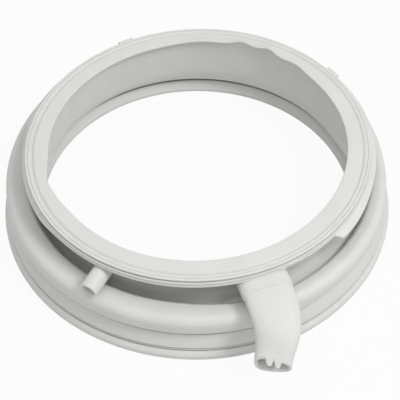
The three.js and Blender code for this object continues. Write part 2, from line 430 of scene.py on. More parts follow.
def combine(piece: bpy.types.Object, other: bpy.types.Object, how: Merge) -> None:
    """Merges one closed piece with another for good, and removes the other.

    Args:
        piece: Piece that is changed.
        other: Closed piece that is joined on or cut out.
        how: Whether the other is joined on or cut out.
    """
    modifier = piece.modifiers.new("combine", "BOOLEAN")
    modifier.operation = how.value
    modifier.solver = "EXACT"
    modifier.object = other
    depsgraph = bpy.context.evaluated_depsgraph_get()
    mesh = bpy.data.meshes.new_from_object(piece.evaluated_get(depsgraph))
    piece.modifiers.clear()
    piece.data = mesh
    mesh.shade_smooth()
    mesh.set_sharp_from_angle(angle=math.radians(SHARP_ANGLE))
    bpy.data.objects.remove(other)


def add_node(
    tree: bpy.types.NodeTree, kind: str, values: dict | None = None, **settings: str
) -> bpy.types.Node:
    """Adds a node to the tree of a material or of the world.

    Args:
        tree: Node tree that takes the node.
        kind: Type of the node.
        values: Value of each input that is set, by its name or number.
        **settings: Settings of the node itself, which are made before its inputs are set.

    Returns:
        The node.
    """
    node = tree.nodes.new(kind)
    for name, setting in settings.items():
        setattr(node, name, setting)
    for name, value in (values or {}).items():
        node.inputs[name].default_value = value
    return node


@dataclass(frozen=True)
class RubberFinish:
    """Pale grey satin rubber, faintly mottled, with turning marks, grime and painted shade in
    its hollows.
    """

    name: str = "seal_rubber"
    centre: tuple = (0.0, 0.0, 0.0)
    tone: tuple = (0.745, 0.742, 0.72)
    shade: tuple = (0.722, 0.718, 0.695)
    roughness: tuple = (0.44, 0.58)
    specular: float = 0.42
    mottle_scale: float = 38.0
    mottle_detail: float = 5.0
    mottle_roughness: float = 0.62
    mottle_range: tuple = (0.38, 0.62)
    grain_scale: float = 1500.0
    grain_detail: float = 3.0
    mark_scale: float = 260.0
    mark_distortion: float = 2.5
    mark_detail: float = 2.0
    mark_share: float = 0.35
    bump: float = 0.12
    bump_depth: float = 0.0004
    # Grime and painted shade: the layer that marks grooves, creases and the neck under the rim,
    # its dark tone and its share.
    grime_and_shade_layer: str = "grime_and_shade"
    grime_and_shade_tone: tuple = (0.2, 0.198, 0.188)
    grime_and_shade_share: float = 0.8

    def patterns(self, tree: bpy.types.NodeTree) -> list[bpy.types.Node]:
        """Adds the textures, which are centred on the seal's axis.

        Args:
            tree: Node tree of the rubber.

        Returns:
            The mottle, the fine grain and the turning marks.
        """
        place = add_node(tree, "ShaderNodeTexCoord")
        offset = [-distance for distance in self.centre]
        centred = add_node(tree, "ShaderNodeMapping", {"Location": offset})
        tree.links.new(place.outputs["Object"], centred.inputs["Vector"])
        mottling = {
            "Scale": self.mottle_scale,
            "Detail": self.mottle_detail,
            "Roughness": self.mottle_roughness,
        }
        graining = {"Scale": self.grain_scale, "Detail": self.grain_detail}
        marking = {
            "Scale": self.mark_scale,
            "Distortion": self.mark_distortion,
            "Detail": self.mark_detail,
        }
        rings = {"wave_type": "RINGS", "rings_direction": "Z"}
        textures = [
            add_node(tree, "ShaderNodeTexNoise", mottling),
            add_node(tree, "ShaderNodeTexNoise", graining),
            add_node(tree, "ShaderNodeTexWave", marking, **rings),
        ]
        for texture in textures:
            tree.links.new(centred.outputs["Vector"], texture.inputs["Vector"])
        return textures

    def colour(self, tree: bpy.types.NodeTree, mottle: bpy.types.Node) -> bpy.types.NodeSocket:
        """Adds the mottled colour, darkened by grime and by painted shade in grooves, creases
        and under the rim.

        Args:
            tree: Node tree of the rubber.
            mottle: Texture that mottles it.

        Returns:
            The socket with the colour.
        """
        tones = {"A": (*self.shade, 1), "B": (*self.tone, 1)}
        clean = add_node(tree, "ShaderNodeMix", tones, data_type="RGBA")
        low, high = self.mottle_range
        spread = add_node(tree, "ShaderNodeMapRange", {"From Min": low, "From Max": high})
        tree.links.new(mottle.outputs["Fac"], spread.inputs["Value"])
        tree.links.new(spread.outputs["Result"], clean.inputs["Factor"])
        # The layer mixes in the dark tone as grime and painted shade in grooves, creases and
        # under the rim.
        held = add_node(tree, "ShaderNodeAttribute", attribute_name=self.grime_and_shade_layer)
        share = add_node(tree, "ShaderNodeMath", {1: self.grime_and_shade_share}, operation="MULTIPLY")
        tree.links.new(held.outputs["Fac"], share.inputs[0])
        grime_and_shade = {"B": (*self.grime_and_shade_tone, 1)}
        soiled_and_shaded = add_node(tree, "ShaderNodeMix", grime_and_shade, data_type="RGBA")
        tree.links.new(clean.outputs["Result"], soiled_and_shaded.inputs["A"])
        tree.links.new(share.outputs["Value"], soiled_and_shaded.inputs["Factor"])
        return soiled_and_shaded.outputs["Result"]

    def relief(
        self, tree: bpy.types.NodeTree, grain: bpy.types.Node, marks: bpy.types.Node
    ) -> bpy.types.NodeSocket:
        """Adds the fine relief of the grain and the turning marks.

        Args:
            tree: Node tree of the rubber.
            grain: Texture of the grain.
            marks: Texture of the turning marks.

        Returns:
            The socket with the bumped normal.
        """
        height = add_node(tree, "ShaderNodeMath", {1: self.mark_share}, operation="MULTIPLY_ADD")
        tree.links.new(marks.outputs["Fac"], height.inputs[0])
        tree.links.new(grain.outputs["Fac"], height.inputs[2])
        bumps = {"Strength": self.bump, "Distance": self.bump_depth}
        bump = add_node(tree, "ShaderNodeBump", bumps)
        tree.links.new(height.outputs["Value"], bump.inputs["Height"])
        return bump.outputs["Normal"]

    def material(self) -> bpy.types.Material:
        """Builds the rubber.

        Returns:
            The node material.
        """
        material = bpy.data.materials.new(self.name)
        material.use_nodes = True
        tree = material.node_tree
        shader = tree.nodes["Principled BSDF"]
        shader.inputs["Specular IOR Level"].default_value = self.specular
        mottle, grain, marks = self.patterns(tree)
        tree.links.new(self.colour(tree, mottle), shader.inputs["Base Color"])
        low, high = self.roughness
        gloss = add_node(tree, "ShaderNodeMapRange", {"To Min": low, "To Max": high})
        tree.links.new(mottle.outputs["Fac"], gloss.inputs["Value"])
        tree.links.new(gloss.outputs["Result"], shader.inputs["Roughness"])
        tree.links.new(self.relief(tree, grain, marks), shader.inputs["Normal"])
        return material


@dataclass
class SealRing:
    """The moulded ring: door lip, grooved rim, skirt, bellows, base bead and web.

    Each row of the neck's table of grime and shade has a drop under the rim, the share that
    follows the ring and the share of painted shade there, which darkens the neck under the rim's
    overhang. Each row of lip_bumps has an angle in degrees, a height and half a width in
    degrees, and each row of lip_follow a step out from the free edge and the share that follows
    it. The pinch has its angle in degrees, its depth, and the width of both its sides in
    degrees.
    """

    sizes: SealSizes
    steps: int = 340
    face_groove_inset: float = 7.0
    face_groove_width: float = 3.2
    face_groove_depth: float = 1.2
    face_groove_floor: float = 0.2
    edge_line_inset: float = 2.7
    edge_line_width: float = 1.0
    edge_line_depth: float = 0.45
    rim_groove_drop: float = 2.2
    rim_groove_width: float = 1.2
    rim_groove_depth: float = 2.3
    rim_groove_slope: float = 0.2
    rim_groove_lead: float = 0.3
    rim_line_drop: float = 5.0
    rim_line_width: float = 0.8
    rim_line_depth: float = 0.4
    rim_rounding: float = 1.1
    draft: float = 0.3
    heel_rise: float = 0.8
    bare_rise: float = 0.35
    neck_grime_and_shade: tuple = ((0, 1.0, 1.0), (18, 1.0, 0.75), (26, 0.9, 0.2))
    crease_cut: float = 1.8
    crease_mouth_step: float = 0.2
    crease_mouth_rise: float = 1.6
    crease_ridge_step: float = 1.8
    crease_ridge_drop: float = 0.6
    clamp_cut: float = 1.4
    clamp_top_gap: float = 0.3
    clamp_foot_gap: float = 0.1
    clamp_line_width: float = 1.1
    clamp_ridge_slope: float = 0.4
    clamp_ridge_proud: float = 1.7
    sill_step: float = 6.5
    sill_height: float = 12.5
    sill_foot: float = 1.5
    bulge_bows: tuple = ((1.6, math.radians(2), math.radians(30)),)
    lip_bumps: tuple = (
        (47.2, 1.75, 6.0),
        (60.3, 3.5, 4.7),
        (71.2, 3.2, 4.9),
        (87.0, 1.3, 13.0),
    )
    lip_tuck: float = 1.05
    lip_follow: tuple = ((3, 0.72), (6, 0.42), (9, 0.16), (12, 0.03))
    lip_root_drop: float = 1.5
    lip_root_follow: float = 0.1
    lip_swell: float = 0.5
    pinch: tuple = (199.5, 4.4, 12.0, 19.0)
    pinch_power: float = 1.1
    inner_rounding: float = 0.4
    bevel_room: float = 0.47

    def lip_side(self) -> list[Corner]:
        """Sets the corners of the door face.

        Returns:
            The corners, from the lip's free edge to the rim.
        """
        s = self.sizes
        lip = s.lip_radius
        groove = s.rim_radius - self.face_groove_inset
        half = self.face_groove_width / 2
        floor = self.face_groove_floor * half
        deep = s.face - self.face_groove_depth
        line = s.rim_radius - self.edge_line_inset
        half_line = self.edge_line_width / 2
        held = Pull(ring=1)
        lip_run = [Corner(lip, s.face, 0.9, 4, Pull(ring=1, lip=1))]
        for step, share in self.lip_follow:
            lip_run.append(Corner(lip + step, s.face, pull=Pull(ring=1, lip=share)))
        # The face groove and the edge line hold a little grime and painted shade, the last
        # number of a corner.
        return lip_run + [
            Corner(groove - half, s.face, 0.5, 2, held),
            Corner(groove - floor, deep, 0.4, 2, held, 0.2),
            Corner(groove + floor, deep, 0.4, 2, held, 0.2),
            Corner(groove + half, s.face, 0.5, 2, held),
            Corner(line - half_line, s.face, 0.25, 2, held),
            Corner(line, s.face - self.edge_line_depth, 0.2, 2, held, 0.5),
            Corner(line + half_line, s.face, 0.25, 2, held),
            Corner(s.rim_radius, s.face, self.rim_rounding, 5, held),
        ]

    def rim_side(self) -> list[Corner]:
        """Sets the corners of the rim's side and of the skirt.

        Returns:
            The corners, from the groove down round the skirt to the rim's underside.
        """
        s = self.sizes
        held = Pull(ring=1)
        ledge = s.rim_radius + s.rim_ledge
        groove = s.rim_radius - self.rim_groove_depth
        high = s.face - self.rim_groove_drop + self.rim_groove_width / 2
        high_end = high - self.rim_groove_width
        line = s.face - self.rim_line_drop
        half_line = self.rim_line_width / 2
        edge = ledge + s.skirt_reach
        low = s.rim_under - s.skirt_drop
        skirt = Pull(ring=1, skirt_in=1, skirt_up=self.bare_rise)
        root = Pull(ring=1, skirt_up=self.bare_rise)
        rim = s.rim_radius - s.skirt_heel
        # The groove, the line and the heel under the rim hold grime and painted shade, the last
        # number of a corner.
        return [
            Corner(s.rim_radius, high, 0.25, 2, held),
            Corner(groove, high - self.rim_groove_slope, 0.3, 2, held, 1),
            Corner(groove, high_end, 0.3, 2, held, 1),
            Corner(ledge, high_end - self.rim_groove_lead, 0.5, 3, held),
            Corner(ledge, line + half_line, 0.2, 2, held),
            Corner(ledge - self.rim_line_depth, line, 0.2, 2, held, 0.4),
            Corner(ledge, line - half_line, 0.2, 2, held),
            Corner(edge, low + s.skirt_thickness, 1.1, 4, skirt),
            Corner(edge, low, 1.1, 4, skirt),
            Corner(rim, low + self.draft, 0.6, 2, root, 0.8),
            Corner(rim - self.heel_rise, s.rim_under + self.heel_rise, 0.6, 2, held, 1),
        ]

    def bellows(self) -> list[Corner]:
        """Sets the corners of the outer side of the bellows.

        Returns:
            The corners, from the rim down to the band's lower edge.
        """
        s = self.sizes
        base = Pull(base=1)
        bulge = Pull(base=1, bulge=1)
        knee = Pull(ring=0.5, slack_up=1, slack_settle=1)
        inner = Pull(base=1, slack_out=1, slack_narrow=1, slack_up=1)
        floor = Pull(base=1, slack_out=1, slack_up=1)
        crest = Pull(base=1, slack_out=1)
        under = s.crease + s.crease_rise
        mouth = s.crease_radius + self.crease_mouth_step
        ridge = s.crease_radius + self.crease_ridge_step
        # Painted shade darkens the neck under the rim's overhang, fading downward.
        neck = [
            Corner(s.neck_radius, s.rim_under - drop, pull=Pull(ring=share), grime_and_shade=grime_and_shade)
            for drop, share, grime_and_shade in self.neck_grime_and_shade
        ]
        return neck + [
            Corner(s.neck_radius, s.fold_floor + s.knee_height, 30, 6, knee),
            Corner(s.fold_in_radius, s.fold_floor, 3.6, 5, inner),
            Corner(s.fold_out_radius, s.fold_floor, 3.6, 5, floor),
            Corner(s.fold_out_radius, s.crest, 4, 7, crest),
            Corner(s.bulge_radius, s.crest, 17, 10, bulge),
            Corner(s.bulge_radius, under, 6, 6, bulge),
            # The crease under the bulge holds grime and painted shade.
            Corner(mouth, s.crease + self.crease_mouth_rise, pull=base, grime_and_shade=0.1),
            Corner(s.crease_radius - self.crease_cut, s.crease, 0.4, 2, base, 1),
            Corner(ridge, s.crease - self.crease_ridge_drop, 0.6, 3, base),
            Corner(s.band_radius, s.groove_top, 0.6, 3, base),
        ]

    def base(self) -> list[Corner]:
        """Sets the corners of the foot of the ring.

        Returns:
            The corners of the clamp groove, the bead, the underside with its slot, and the web.
        """
        s = self.sizes
        base = Pull(base=1)
        groove = s.band_radius - self.clamp_cut * s.clamp_groove_depth
        ridge = groove + self.clamp_ridge_proud
        bead = s.bead_height
        high = s.groove_top - self.clamp_top_gap
        high_end = high - self.clamp_line_width
        low = bead + self.clamp_foot_gap
        low_end = low + self.clamp_line_width
        slot = s.bead_radius - s.slot_inset
        slot_end = slot - s.slot_width
        foot = s.crease_radius - s.wall
        sill_end = s.hole_radius + self.sill_foot * self.sill_step
        # The clamp groove's corners hold grime and painted shade, the last number of a corner.
        return [
            Corner(groove, high, 0.3, 2, base, 1),
            Corner(groove, high_end, 0.3, 2, base, 1),
            Corner(ridge, high_end - self.clamp_ridge_slope, 0.4, 2, base),
            Corner(ridge, low_end + self.clamp_ridge_slope, 0.4, 2, base),
            Corner(groove, low_end, 0.3, 2, base, 1),
            Corner(groove, low, 0.3, 2, base, 1),
            Corner(s.band_radius, bead, 0.8, 3, base),
            Corner(s.bead_radius, bead - s.bead_proud, 4.0, 6, base),
            Corner(s.bead_radius, 0, 4.4, 6, base),
            Corner(slot, 0, 0.4, 2, base),
            Corner(slot, s.slot_depth, 0.6, 2, base),
            Corner(slot_end, s.slot_depth, 0.6, 2, base),
            Corner(slot_end, 0, 0.4, 2, base),
            Corner(s.hole_radius, 0, 0.7, 3),
            Corner(s.hole_radius, s.web_thickness, 1.2, 4),
            Corner(s.hole_radius + self.sill_step, self.sill_height, 1.2, 4),
            Corner(sill_end, s.web_thickness, 2, 3, base),
            Corner(foot - s.bulge_foot, s.web_thickness, 3, 4, base),
            Corner(foot, s.web_thickness + s.bulge_foot, 3, 4, base),
        ]

    def inner_side(self, run: list[Corner]) -> list[Corner]:
        """Moves a run of corners to the right of its heading by the wall's thickness.

        Args:
            run: Corners of the outer side.

        Returns:
            Corners of the inner side, in the same order.
        """
        wall = self.sizes.wall
        points = [Vector((c.radius, c.height)) for c in run]
        inner = []
        for i, corner in enumerate(run[1:-1], start=1):
            into = (points[i] - points[i - 1]).normalized()
            out = (points[i + 1] - points[i]).normalized()
            right_in = Vector((into.y, -into.x))
            right_out = Vector((out.y, -out.x))
            miter = (right_in + right_out) * wall / (1 + right_in.dot(right_out))
            left_turn = into.x * out.y - into.y * out.x > 0
            widened = corner.rounding + (wall if left_turn else -wall)
            rounding = max(widened, self.inner_rounding * wall)
            steps = max(3, corner.steps - 2) if corner.steps else 0
            at = points[i] + miter
            inner.append(Corner(at.x, at.y, rounding, steps, corner.pull))
        return inner

    def lip_underside(self) -> list[Corner]:
        """Sets the corners of the lip's underside.

        Returns:
            The corners, from the neck's inner wall to the free edge.
        """
        s = self.sizes
        lip = s.lip_radius
        under = s.face - s.lip_thickness
        neck = s.neck_radius - s.wall
        root = Pull(ring=1, lip=self.lip_root_follow)
        step, share = self.lip_follow[0]
        return [
            Corner(neck, s.face - self.lip_root_drop * s.wall, 4, 5, root),
            Corner(lip + step, under - self.lip_swell, pull=Pull(ring=1, lip=share)),
            Corner(lip, under, 0.9, 4, Pull(ring=1, lip=1)),
        ]

    def section(self) -> list[Corner]:
        """Puts the whole section of the ring together.

        Returns:
            The corners, clockwise from the lip's free edge.
        """
        run = self.bellows()
        outside = self.lip_side() + self.rim_side() + run + self.base()
        return outside + self.inner_side(run)[::-1] + self.lip_underside()

    def lip_lift(self, angle: float) -> float:
        """Works out the height of the lip's waves.

        Args:
            angle: Place round the seal.

        Returns:
            The height.
        """
        lift = 0.0
        for middle, height, half in self.lip_bumps:
            away = math.degrees(turn(math.radians(middle), angle)) / half
            lift += height * math.exp(-away * away)
        return lift

    def lip_pinch(self, angle: float) -> float:
        """Works out the depth of the lip's pinch.

        Args:
            angle: Place round the seal.

        Returns:
            The depth.
        """
        middle, depth, rise, fall = self.pinch
        away = math.degrees(turn(math.radians(middle), angle))
        return depth * max(0.0, 1 - abs(away) / (rise if away < 0 else fall)) ** self.pinch_power

    def draw_section(self, bm: bmesh.types.BMesh) -> None:
        """Draws the section in the plane of X and Z and rounds its corners.

        Args:
            bm: Empty mesh that takes the section.
        """
        layers = {f.name: bm.verts.layers.float.new(f.name) for f in fields(Pull)}
        # This layer holds each corner's share of grime and painted shade.
        grime_and_shade = bm.verts.layers.float.new(RubberFinish.grime_and_shade_layer)
        corners = self.section()
        verts = [bm.verts.new((c.radius, 0, c.height)) for c in corners]
        for i, corner in enumerate(corners):
            verts[i][grime_and_shade] = corner.grime_and_shade
            for name, layer in layers.items():
                verts[i][layer] = getattr(corner.pull, name)
            bm.edges.new((verts[i - 1], verts[i]))
        points = [vert.co.copy() for vert in verts]
        count = len(corners)
        for i, corner in enumerate(corners):
            if corner.steps == 0:
                continue
            before = points[i - 1] - points[i]
            after = points[(i + 1) % count] - points[i]
            half = before.angle(after) / 2
            room = self.bevel_room * min(before.length, after.length)
            reach = min(corner.rounding / math.tan(half), room)
            round_off(bm, [verts[i]], Rounded.CORNERS, reach, corner.steps)

    def settle(self, bm: bmesh.types.BMesh) -> None:
        """Moves the round ring into the shape that the soft seal has taken.

        Args:
            bm: Spun ring, whose layers hold each point's pulls.
        """
        s = self.sizes
        layers = {f.name: bm.verts.layers.float[f.name] for f in fields(Pull)}
        gives: dict[float, tuple] = {}
        for vert in bm.verts:
            angle = math.atan2(vert.co.y, vert.co.x)
            key = round(angle, 5)
            if key not in gives:
                gives[key] = (
                    s.ring_offset(angle),
                    s.base_offset(angle),
                    -s.bowed_in(angle, self.bulge_bows),
                    s.slack_share(angle),
                    self.lip_lift(angle),
                    self.lip_pinch(angle),
                    1 - s.skirt_share(angle),
                    s.skirt_share(angle) * s.skirt_flare(angle),
                )
            ring, base, bulge, slack, lift, pinch, bare, flare = gives[key]
            pull = {name: vert[layer] for name, layer in layers.items()}
            radius = math.hypot(vert.co.x, vert.co.y)
            radius += ring * pull["ring"] + base * pull["base"] + bulge * pull["bulge"]
            radius += slack * s.slack_reach * pull["slack_out"]
            radius += slack * s.slack_narrowing * pull["slack_narrow"]
            radius += (pinch + self.lip_tuck * lift) * pull["lip"]
            radius -= (bare * s.skirt_reach - flare) * pull["skirt_in"]
            height = vert.co.z + lift * pull["lip"] + bare * s.skirt_drop * pull["skirt_up"]
            height += slack * s.slack_lift * pull["slack_up"]
            height -= slack * s.slack_settling * pull["slack_settle"]
            vert.co = polar(angle, radius, height)

    def build(self) -> bpy.types.Object:
        """Spins the section into the ring and settles it.

        Returns:
            The ring.
        """
        bm = bmesh.new()
        self.draw_section(bm)
        spin_round(bm, self.steps)
        self.settle(bm)
        to_part_frame(bm, self.sizes)
        return piece_of(bm, "ring")


@dataclass
class DrainSpout:
    """Flattened tube that leaves under the rim and passes over the bulge.

    Places along its middle line run from 0 in the neck's wall to 1 at the open end. Each row of
    outer_edge and inner_edge has how far a loop stands out of the wall and how far it runs on,
    and each tongue has its place across the tube and its width.
    """

    sizes: SealSizes
    angle: float = math.radians(291)
    reach: float = 67.0
    fall: float = 27.0
    swing: float = 18.8
    lead: float = 68.0
    ease: float = 24.5
    aim: float = math.radians(264.4)
    dip: float = math.radians(26)
    root_width: float = 45.5
    end_width: float = 32.3
    lower_run: float = 4.5
    cut_back: float = 9.0
    cut_slant: float = 0.34
    cut_start: float = 0.7
    narrowing: tuple = (0.1, 1.05)
    wall: float = 2.6
    squareness: float = 2.5
    collar: tuple = (0.05, 0.148)
    collar_proud: float = 0.8
    collar_edge: float = 0.5
    outer_edge: tuple = ((0.0, -0.7), (-0.25, -0.15), (-0.7, 0.0))
    inner_edge: tuple = ((0.5, 0.0), (0.0, -0.5))
    tongues: tuple = ((-3.1, 5.2), (4.1, 5.0))
    tongue_reach: float = 6.4
    tongue_spread: float = 1.9
    tongue_droop: float = 1.6
    tongue_bury: float = 3.0
    tongue_thickness: float = 2.2
    tongue_rounding: float = 0.5
    tongue_segments: int = 32
    segments: int = 96
    places: int = 48
    plug_back: float = 3.0
    plug_places: tuple = (0.0, 0.05, 0.1, 0.15, 0.2, 0.25, 0.3)

    def anchors(self) -> tuple[Vector, Vector, Vector, Vector]:
        """Places the points that steer the middle line.

        Returns:
            The start, two control points and the end.
        """
        s = self.sizes
        root_z = s.rim_under - s.spout_gap - s.spout_height / 2
        root = s.neck_radius + s.ring_offset(self.angle) - s.wall / 2
        side = polar(self.angle - math.pi / 2, self.swing, 0)
        end = polar(self.angle, s.rim_radius + self.reach, root_z - self.fall) + side
        flat = self.ease * math.cos(self.dip)
        back = polar(self.aim + math.pi, flat, self.ease * math.sin(self.dip))
        start = polar(self.angle, root, root_z)
        return start, polar(self.angle, root + self.lead, root_z), end + back, end

    def middle_line(self, t: float) -> Vector:
        """Finds a point of the spout's middle line.

        Args:
            t: Place along it.

        Returns:
            The point.
        """
        a, b, c, d = self.anchors()
        u = 1 - t
        return a * u**3 + b * 3 * u * u * t + c * 3 * u * t * t + d * t**3

    def heading(self, t: float) -> Vector:
        """Finds the direction of the spout's middle line.

        Args:
            t: Place along it.

        Returns:
            The direction, of length 1.
        """
        a, b, c, d = self.anchors()
        u = 1 - t
        return ((b - a) * u * u + (c - b) * 2 * u * t + (d - c) * t * t).normalized()

    def width_at(self, t: float) -> float:
        """Outer width of the spout along its middle line."""
        share = smoothstep(t, *self.narrowing)
        return self.root_width + (self.end_width - self.root_width) * share

    def placing(self, t: float, run_on: float = 0.0) -> Matrix:
        """Frame across the spout: X is level, Y is up and Z is along.

        Args:
            t: Place along the middle line.
            run_on: Distance further along the heading.

        Returns:
            The frame as a matrix.
        """
        along = self.heading(t)
        side = Vector((0, 0, 1)).cross(along).normalized()
        up = along.cross(side)
        at = self.middle_line(t) + along * run_on
        turned = Matrix((side, up, along)).transposed()
        return Matrix.Translation(at) @ turned.to_4x4()

    def loop(self, bm: bmesh.types.BMesh, t: float, grow: float, run_on: float = 0.0) -> list:
        """Adds one oval loop across the spout.

        Args:
            bm: Mesh that takes the loop.
            t: Place along the middle line.
            grow: Distance outside the tube's outer face.
            run_on: Distance further along the heading.

        Returns:
            The loop's edges.
        """
        made = bmesh.ops.create_circle(bm, cap_ends=False, radius=1, segments=self.segments)
        placing = self.placing(t, run_on)
        half_width = self.width_at(t) / 2 + grow
        half_height = self.sizes.spout_height / 2 + grow
        power = 2 / self.squareness
        for vert in made["verts"]:
            x = math.copysign(abs(vert.co.x) ** power, vert.co.x) * half_width
            y = math.copysign(abs(vert.co.y) ** power, vert.co.y) * half_height
            vert.co = placing @ Vector((x, y, -self.cut_at(t, x, y)))
        return list(dict.fromkeys(edge for vert in made["verts"] for edge in vert.link_edges))

    def cut_at(self, t: float, x: float, y: float) -> float:
        """How far the slanting end cuts the tube back, or below zero lets it run on.

        Args:
            t: Place along the middle line.
            x: Place across the tube.
            y: Place up the tube.

        Returns:
            The distance, which is largest at the top of the open end.
        """
        rise = 0.5 + y / self.sizes.spout_height
        slant = 1 - self.cut_slant * 2 * x / self.end_width
        return (self.cut_back * rise * slant - self.lower_run) * smoothstep(t, self.cut_start, 1)

    def bridge(self, bm: bmesh.types.BMesh, loops: list, closed: bool) -> None:
        """Joins loops in order into a tube.

        Args:
            bm: Mesh that holds the loops.
            loops: Edge loops in order.
            closed: Whether the last loop joins the first one.
        """
        following = loops[1:] + loops[:1] if closed else loops[1:]
        for first, second in zip(loops, following):
            bmesh.ops.bridge_loops(bm, edges=first + second)

    def wall_loops(self, bm: bmesh.types.BMesh) -> list:
        """Adds the loops of the tube's wall.

        Args:
            bm: Mesh that takes the loops.

        Returns:
            The loops, out along the outside and back along the bore.
        """
        start, end = self.collar
        # Near its start the middle line covers three times its lead from 0 to 1.
        edge = self.collar_edge / (3 * self.lead)
        outside = {start - edge: 0.0, start: self.collar_proud, end: self.collar_proud}
        outside[end + edge] = 0.0
        for k in range(self.places + 1):
            t = k / self.places
            if not start - 2 * edge < t < end + 2 * edge:
                outside[t] = 0.0
        loops = [self.loop(bm, t, outside[t]) for t in sorted(outside) if t < 1]
        loops += [self.loop(bm, 1, grow, run_on) for grow, run_on in self.outer_edge]
        loops += [self.loop(bm, 1, grow - self.wall, run_on) for grow, run_on in self.inner_edge]
        for k in range(self.places - 1, -1, -1):
            loops.append(self.loop(bm, k / self.places, -self.wall))
        return loops

    def bore(self) -> bpy.types.Object:
        """Builds the cutter that opens the neck's wall into the spout.

        Returns:
            A closed plug of the bore's shape, which starts inside the neck.
        """
        bm = bmesh.new()
        loops = [self.loop(bm, 0, -self.wall, -self.plug_back * self.sizes.wall)]
        loops += [self.loop(bm, t, -self.wall) for t in self.plug_places]
        self.bridge(bm, loops, closed=False)
        bmesh.ops.holes_fill(bm, edges=[e for e in bm.edges if e.is_boundary], sides=0)
        to_part_frame(bm, self.sizes)
        return piece_of(bm, "spout_bore")

    def tongue(self, bm: bmesh.types.BMesh, middle: float, width: float) -> None:
        """Adds one rounded tongue, which runs on from the upper wall over the slanting end.

        Args:
            bm: Mesh that takes the tongue.
            middle: Place across the spout.
            width: Width of the tongue.
        """
        half = width / 2
        top = self.sizes.spout_height / 2
        across = abs(2 * middle / self.end_width) ** self.squareness
        top *= (1 - across) ** (1 / self.squareness)
        root = -self.cut_at(1, middle, top)
        made = bmesh.ops.create_circle(
            bm, cap_ends=True, radius=1, segments=self.tongue_segments
        )
        for vert in made["verts"]:
            tip = vert.co.y * half + self.tongue_reach - half
            free = round(vert.co.y, 3) >= 0
            along = tip if free else -self.tongue_bury
            wide = half if free else self.tongue_spread * half
            droop = self.tongue_droop * max(0, along / self.tongue_reach)
            low = top - self.tongue_thickness - droop
            vert.co = Vector((middle + vert.co.x * wide, low, root + along))
        sweep = bmesh.ops.extrude_face_region(bm, geom=bm.faces[:])
        raised = [g for g in sweep["geom"] if isinstance(g, bmesh.types.BMVert)]
        bmesh.ops.translate(bm, verts=raised, vec=(0, self.tongue_thickness, 0))
        rim = [e for e in bm.edges if all(vert in raised for vert in e.verts)]
        round_off(bm, rim, Rounded.EDGES, self.tongue_rounding)
        bmesh.ops.transform(bm, matrix=self.placing(1), verts=bm.verts)

    def build(self) -> bpy.types.Object:
        """Builds the spout with its collar, bore, slanting end and two tongues.

        Returns:
            The spout.
        """
        bm = bmesh.new()
        self.bridge(bm, self.wall_loops(bm), closed=True)
        to_part_frame(bm, self.sizes)
        spout = piece_of(bm, "spout")
        for middle, width in self.tongues:
            tongue = bmesh.new()
            self.tongue(tongue, middle, width)
            to_part_frame(tongue, self.sizes)
            combine(spout, piece_of(tongue, "tongue"), Merge.JOIN)
        return spout


@dataclass
class InletNozzle:
    """Round stub that leaves the neck at the front left."""

    sizes: SealSizes
    angle: float = math.radians(239)
    reach: float = 21.5
    fall: float = 5.0
    diameter: float = 17.0
    wall: float = 2.4
    gap: float = 1.5
    edge: float = 0.6
    edge_bow: float = 0.18
    plug_reach: tuple = (-3.0, 1.5)
    segments: int = 64

    def placing(self) -> tuple[Matrix, float]:
        """Places the stub.

        Returns:
            The frame at its root, with Z along it, and its length.
        """
        s = self.sizes
        root_z = s.rim_under - self.gap - self.diameter / 2
        root = s.neck_radius + s.ring_offset(self.angle) - s.wall / 2
        start = polar(self.angle, root, root_z)
        end = polar(self.angle, s.rim_radius + self.reach, root_z - self.fall)
        along = (end - start).normalized()
        side = Vector((0, 0, 1)).cross(along).normalized()
        turned = Matrix((side, along.cross(side), along)).transposed()
        return Matrix.Translation(start) @ turned.to_4x4(), (end - start).length

    def tube(self, outline: list[tuple[float, float]], closed: bool) -> bmesh.types.BMesh:
        """Spins an outline of radius and distance about the stub's axis.

        Args:
            outline: Points of the outline.
            closed: Whether the last point joins the first one.

        Returns:
            The spun mesh, in the part frame.
        """
        bm = bmesh.new()
        verts = [bm.verts.new((radius, 0, along)) for radius, along in outline]
        following = verts[1:] + verts[:1] if closed else verts[1:]
        for first, second in zip(verts, following):
            bm.edges.new((first, second))
        spin_round(bm, self.segments)
        bmesh.ops.remove_doubles(bm, verts=bm.verts, dist=MERGE_DISTANCE / MM)
        bmesh.ops.transform(bm, matrix=self.placing()[0], verts=bm.verts)
        to_part_frame(bm, self.sizes)
        return bm

    def bore(self) -> bpy.types.Object:
        """Builds the cutter that opens the neck's wall into the nozzle.

        Returns:
            A closed plug of the bore's shape.
        """
        radius = self.diameter / 2 - self.wall
        back, front = (share * self.sizes.wall for share in self.plug_reach)
        outline = [(0, back), (radius, back), (radius, front), (0, front)]
        return piece_of(self.tube(outline, closed=False), "nozzle_bore")

    def build(self) -> bpy.types.Object:
        """Builds the stub, open at both ends.

        Returns:
            The nozzle.
        """
        length = self.placing()[1]
        outer = self.diameter / 2
        inner = outer - self.wall
        edge = self.edge
        bow = self.edge_bow * edge
        outline = [
            (outer, 0),
            (outer, length - edge),
            (outer - bow, length - bow),
            (outer - edge, length),
            (inner + edge, length),
            (inner + bow, length - bow),
            (inner, length - edge),
            (inner, 0),
        ]
        return piece_of(self.tube(outline, closed=True), "nozzle")


